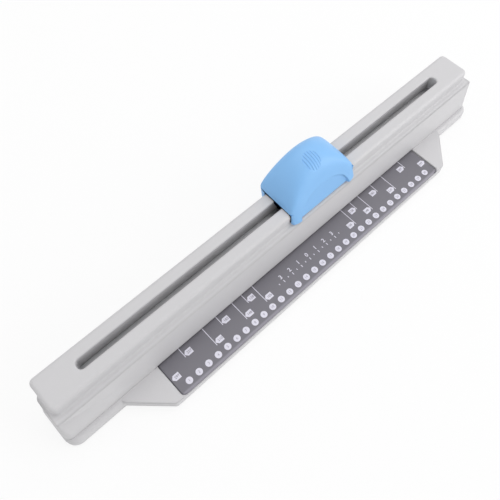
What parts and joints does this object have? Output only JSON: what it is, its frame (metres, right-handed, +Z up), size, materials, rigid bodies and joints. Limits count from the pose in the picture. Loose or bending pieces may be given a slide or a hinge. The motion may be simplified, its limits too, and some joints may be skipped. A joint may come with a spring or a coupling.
{
  "type": "thirty-hole punch",
  "caption": "Long desktop punch for loose-leaf paper with a dome slider in a slotted grey housing and a printed guide table.",
  "frame": {"origin": "middle of the box of the whole punch, on the plane its feet stand on", "axes": "+X along the punch to the drawer's end, +Y to the back, +Z up"},
  "size_m": [0.458, 0.076, 0.079],
  "materials": {
    "grey_moulding": "fine satin",
    "printed_plate": "satin with white print",
    "blue_moulding": "soft satin",
    "black_moulding": "satin",
    "roller_plastic": "polished acetal",
    "steel": "zinc plated",
    "spring_steel": "blued",
    "pin_steel": "ground",
    "foot_rubber": "matt"
  },
  "bodies": {
    "base": {"base_shell": "grey_moulding", "upper_housing": "grey_moulding", "guide_plate": "printed_plate", "die_plate": "steel", "paper_stop": "steel", "punch_channel": "steel", "return_springs": "spring_steel", "press_strip": "spring_steel", "strip_rivets": "steel", "die_set_screws": "steel", "housing_screws": "steel", "rubber_feet": "foot_rubber"},
    "slider": {"slider_shell": "blue_moulding", "slider_carriage": "black_moulding", "roller_axle": "steel", "carriage_screws": "steel"},
    "roller": {"press_roller": "roller_plastic"},
    "drawer": {"drawer_floor": "black_moulding", "drawer_rails": "black_moulding", "drawer_front": "black_moulding", "drawer_back": "black_moulding"},
    "pin_01": {"punch_pin_01": "pin_steel"},
    "pin_02": {"punch_pin_02": "pin_steel"},
    "pin_03": {"punch_pin_03": "pin_steel"},
    "pin_04": {"punch_pin_04": "pin_steel"},
    "pin_05": {"punch_pin_05": "pin_steel"},
    "pin_06": {"punch_pin_06": "pin_steel"},
    "pin_07": {"punch_pin_07": "pin_steel"},
    "pin_08": {"punch_pin_08": "pin_steel"},
    "pin_09": {"punch_pin_09": "pin_steel"},
    "pin_10": {"punch_pin_10": "pin_steel"},
    "pin_11": {"punch_pin_11": "pin_steel"},
    "pin_12": {"punch_pin_12": "pin_steel"},
    "pin_13": {"punch_pin_13": "pin_steel"},
    "pin_14": {"punch_pin_14": "pin_steel"},
    "pin_15": {"punch_pin_15": "pin_steel"},
    "pin_16": {"punch_pin_16": "pin_steel"},
    "pin_17": {"punch_pin_17": "pin_steel"},
    "pin_18": {"punch_pin_18": "pin_steel"},
    "pin_19": {"punch_pin_19": "pin_steel"},
    "pin_20": {"punch_pin_20": "pin_steel"},
    "pin_21": {"punch_pin_21": "pin_steel"},
    "pin_22": {"punch_pin_22": "pin_steel"},
    "pin_23": {"punch_pin_23": "pin_steel"},
    "pin_24": {"punch_pin_24": "pin_steel"},
    "pin_25": {"punch_pin_25": "pin_steel"},
    "pin_26": {"punch_pin_26": "pin_steel"},
    "pin_27": {"punch_pin_27": "pin_steel"},
    "pin_28": {"punch_pin_28": "pin_steel"},
    "pin_29": {"punch_pin_29": "pin_steel"},
    "pin_30": {"punch_pin_30": "pin_steel"}
  },
  "joints": [
    {"name": "slider_travel", "type": "slide", "parent": "base", "child": "slider", "axis": [1, 0, 0], "range_m": [-0.2049, 0.1419]},
    {"name": "chip_drawer_slide", "type": "slide", "parent": "base", "child": "drawer", "axis": [1, 0, 0], "range_m": [0, 0.3]},
    {"name": "roller_spin", "type": "hinge", "parent": "slider", "child": "roller", "pos_m": [0.0315, 0.0165, 0.0462], "axis": [0, 1, 0], "continuous": true},
    {"name": "pin_01_press", "type": "slide", "parent": "base", "child": "pin_01", "axis": [0, 0, -1], "range_m": [0, 0.003], "stiffness_N_per_m": 400, "springref_m": -0.003, "deforming": ["return_springs"]},
    {"name": "pin_02_press", "type": "slide", "parent": "base", "child": "pin_02", "axis": [0, 0, -1], "range_m": [0, 0.003], "stiffness_N_per_m": 400, "springref_m": -0.003, "deforming": ["return_springs"]},
    {"name": "pin_03_press", "type": "slide", "parent": "base", "child": "pin_03", "axis": [0, 0, -1], "range_m": [0, 0.003], "stiffness_N_per_m": 400, "springref_m": -0.003, "deforming": ["return_springs"]},
    {"name": "pin_04_press", "type": "slide", "parent": "base", "child": "pin_04", "axis": [0, 0, -1], "range_m": [0, 0.003], "stiffness_N_per_m": 400, "springref_m": -0.003, "deforming": ["return_springs"]},
    {"name": "pin_05_press", "type": "slide", "parent": "base", "child": "pin_05", "axis": [0, 0, -1], "range_m": [0, 0.003], "stiffness_N_per_m": 400, "springref_m": -0.003, "deforming": ["return_springs"]},
    {"name": "pin_06_press", "type": "slide", "parent": "base", "child": "pin_06", "axis": [0, 0, -1], "range_m": [0, 0.003], "stiffness_N_per_m": 400, "springref_m": -0.003, "deforming": ["return_springs"]},
    {"name": "pin_07_press", "type": "slide", "parent": "base", "child": "pin_07", "axis": [0, 0, -1], "range_m": [0, 0.003], "stiffness_N_per_m": 400, "springref_m": -0.003, "deforming": ["return_springs"]},
    {"name": "pin_08_press", "type": "slide", "parent": "base", "child": "pin_08", "axis": [0, 0, -1], "range_m": [0, 0.003], "stiffness_N_per_m": 400, "springref_m": -0.003, "deforming": ["return_springs"]},
    {"name": "pin_09_press", "type": "slide", "parent": "base", "child": "pin_09", "axis": [0, 0, -1], "range_m": [0, 0.003], "stiffness_N_per_m": 400, "springref_m": -0.003, "deforming": ["return_springs"]},
    {"name": "pin_10_press", "type": "slide", "parent": "base", "child": "pin_10", "axis": [0, 0, -1], "range_m": [0, 0.003], "stiffness_N_per_m": 400, "springref_m": -0.003, "deforming": ["return_springs"]},
    {"name": "pin_11_press", "type": "slide", "parent": "base", "child": "pin_11", "axis": [0, 0, -1], "range_m": [0, 0.003], "stiffness_N_per_m": 400, "springref_m": -0.003, "deforming": ["return_springs"]},
    {"name": "pin_12_press", "type": "slide", "parent": "base", "child": "pin_12", "axis": [0, 0, -1], "range_m": [0, 0.003], "stiffness_N_per_m": 400, "springref_m": -0.003, "deforming": ["return_springs"]},
    {"name": "pin_13_press", "type": "slide", "parent": "base", "child": "pin_13", "axis": [0, 0, -1], "range_m": [0, 0.003], "stiffness_N_per_m": 400, "springref_m": -0.003, "deforming": ["return_springs"]},
    {"name": "pin_14_press", "type": "slide", "parent": "base", "child": "pin_14", "axis": [0, 0, -1], "range_m": [0, 0.003], "stiffness_N_per_m": 400, "springref_m": -0.003, "deforming": ["return_springs"]},
    {"name": "pin_15_press", "type": "slide", "parent": "base", "child": "pin_15", "axis": [0, 0, -1], "range_m": [0, 0.003], "stiffness_N_per_m": 400, "springref_m": -0.003, "deforming": ["return_springs"]},
    {"name": "pin_16_press", "type": "slide", "parent": "base", "child": "pin_16", "axis": [0, 0, -1], "range_m": [0, 0.003], "stiffness_N_per_m": 400, "springref_m": -0.003, "deforming": ["return_springs"]},
    {"name": "pin_17_press", "type": "slide", "parent": "base", "child": "pin_17", "axis": [0, 0, -1], "range_m": [0, 0.003], "stiffness_N_per_m": 400, "springref_m": -0.003, "deforming": ["return_springs"]},
    {"name": "pin_18_press", "type": "slide", "parent": "base", "child": "pin_18", "axis": [0, 0, -1], "range_m": [0, 0.003], "stiffness_N_per_m": 400, "springref_m": -0.003, "deforming": ["return_springs"]},
    {"name": "pin_19_press", "type": "slide", "parent": "base", "child": "pin_19", "axis": [0, 0, -1], "range_m": [0, 0.003], "stiffness_N_per_m": 400, "springref_m": -0.003, "deforming": ["return_springs"]},
    {"name": "pin_20_press", "type": "slide", "parent": "base", "child": "pin_20", "axis": [0, 0, -1], "range_m": [0, 0.003], "stiffness_N_per_m": 400, "springref_m": -0.003, "deforming": ["return_springs"]},
    {"name": "pin_21_press", "type": "slide", "parent": "base", "child": "pin_21", "axis": [0, 0, -1], "range_m": [0, 0.003], "stiffness_N_per_m": 400, "springref_m": -0.003, "deforming": ["return_springs"]},
    {"name": "pin_22_press", "type": "slide", "parent": "base", "child": "pin_22", "axis": [0, 0, -1], "range_m": [0, 0.003], "stiffness_N_per_m": 400, "springref_m": -0.003, "deforming": ["return_springs"]},
    {"name": "pin_23_press", "type": "slide", "parent": "base", "child": "pin_23", "axis": [0, 0, -1], "range_m": [0, 0.003], "stiffness_N_per_m": 400, "springref_m": -0.003, "deforming": ["return_springs"]},
    {"name": "pin_24_press", "type": "slide", "parent": "base", "child": "pin_24", "axis": [0, 0, -1], "range_m": [0, 0.003], "stiffness_N_per_m": 400, "springref_m": -0.003, "deforming": ["return_springs"]},
    {"name": "pin_25_press", "type": "slide", "parent": "base", "child": "pin_25", "axis": [0, 0, -1], "range_m": [0, 0.003], "stiffness_N_per_m": 400, "springref_m": -0.003, "deforming": ["return_springs"]},
    {"name": "pin_26_press", "type": "slide", "parent": "base", "child": "pin_26", "axis": [0, 0, -1], "range_m": [0, 0.003], "stiffness_N_per_m": 400, "springref_m": -0.003, "deforming": ["return_springs"]},
    {"name": "pin_27_press", "type": "slide", "parent": "base", "child": "pin_27", "axis": [0, 0, -1], "range_m": [0, 0.003], "stiffness_N_per_m": 400, "springref_m": -0.003, "deforming": ["return_springs"]},
    {"name": "pin_28_press", "type": "slide", "parent": "base", "child": "pin_28", "axis": [0, 0, -1], "range_m": [0, 0.003], "stiffness_N_per_m": 400, "springref_m": -0.003, "deforming": ["return_springs"]},
    {"name": "pin_29_press", "type": "slide", "parent": "base", "child": "pin_29", "axis": [0, 0, -1], "range_m": [0, 0.003], "stiffness_N_per_m": 400, "springref_m": -0.003, "deforming": ["return_springs"]},
    {"name": "pin_30_press", "type": "slide", "parent": "base", "child": "pin_30", "axis": [0, 0, -1], "range_m": [0, 0.003], "stiffness_N_per_m": 400, "springref_m": -0.003, "deforming": ["return_springs"]}
  ],
  "couplings": [
    {"joint": "roller_spin", "follows": "slider_travel", "rad_per_m": 125}
  ]
}
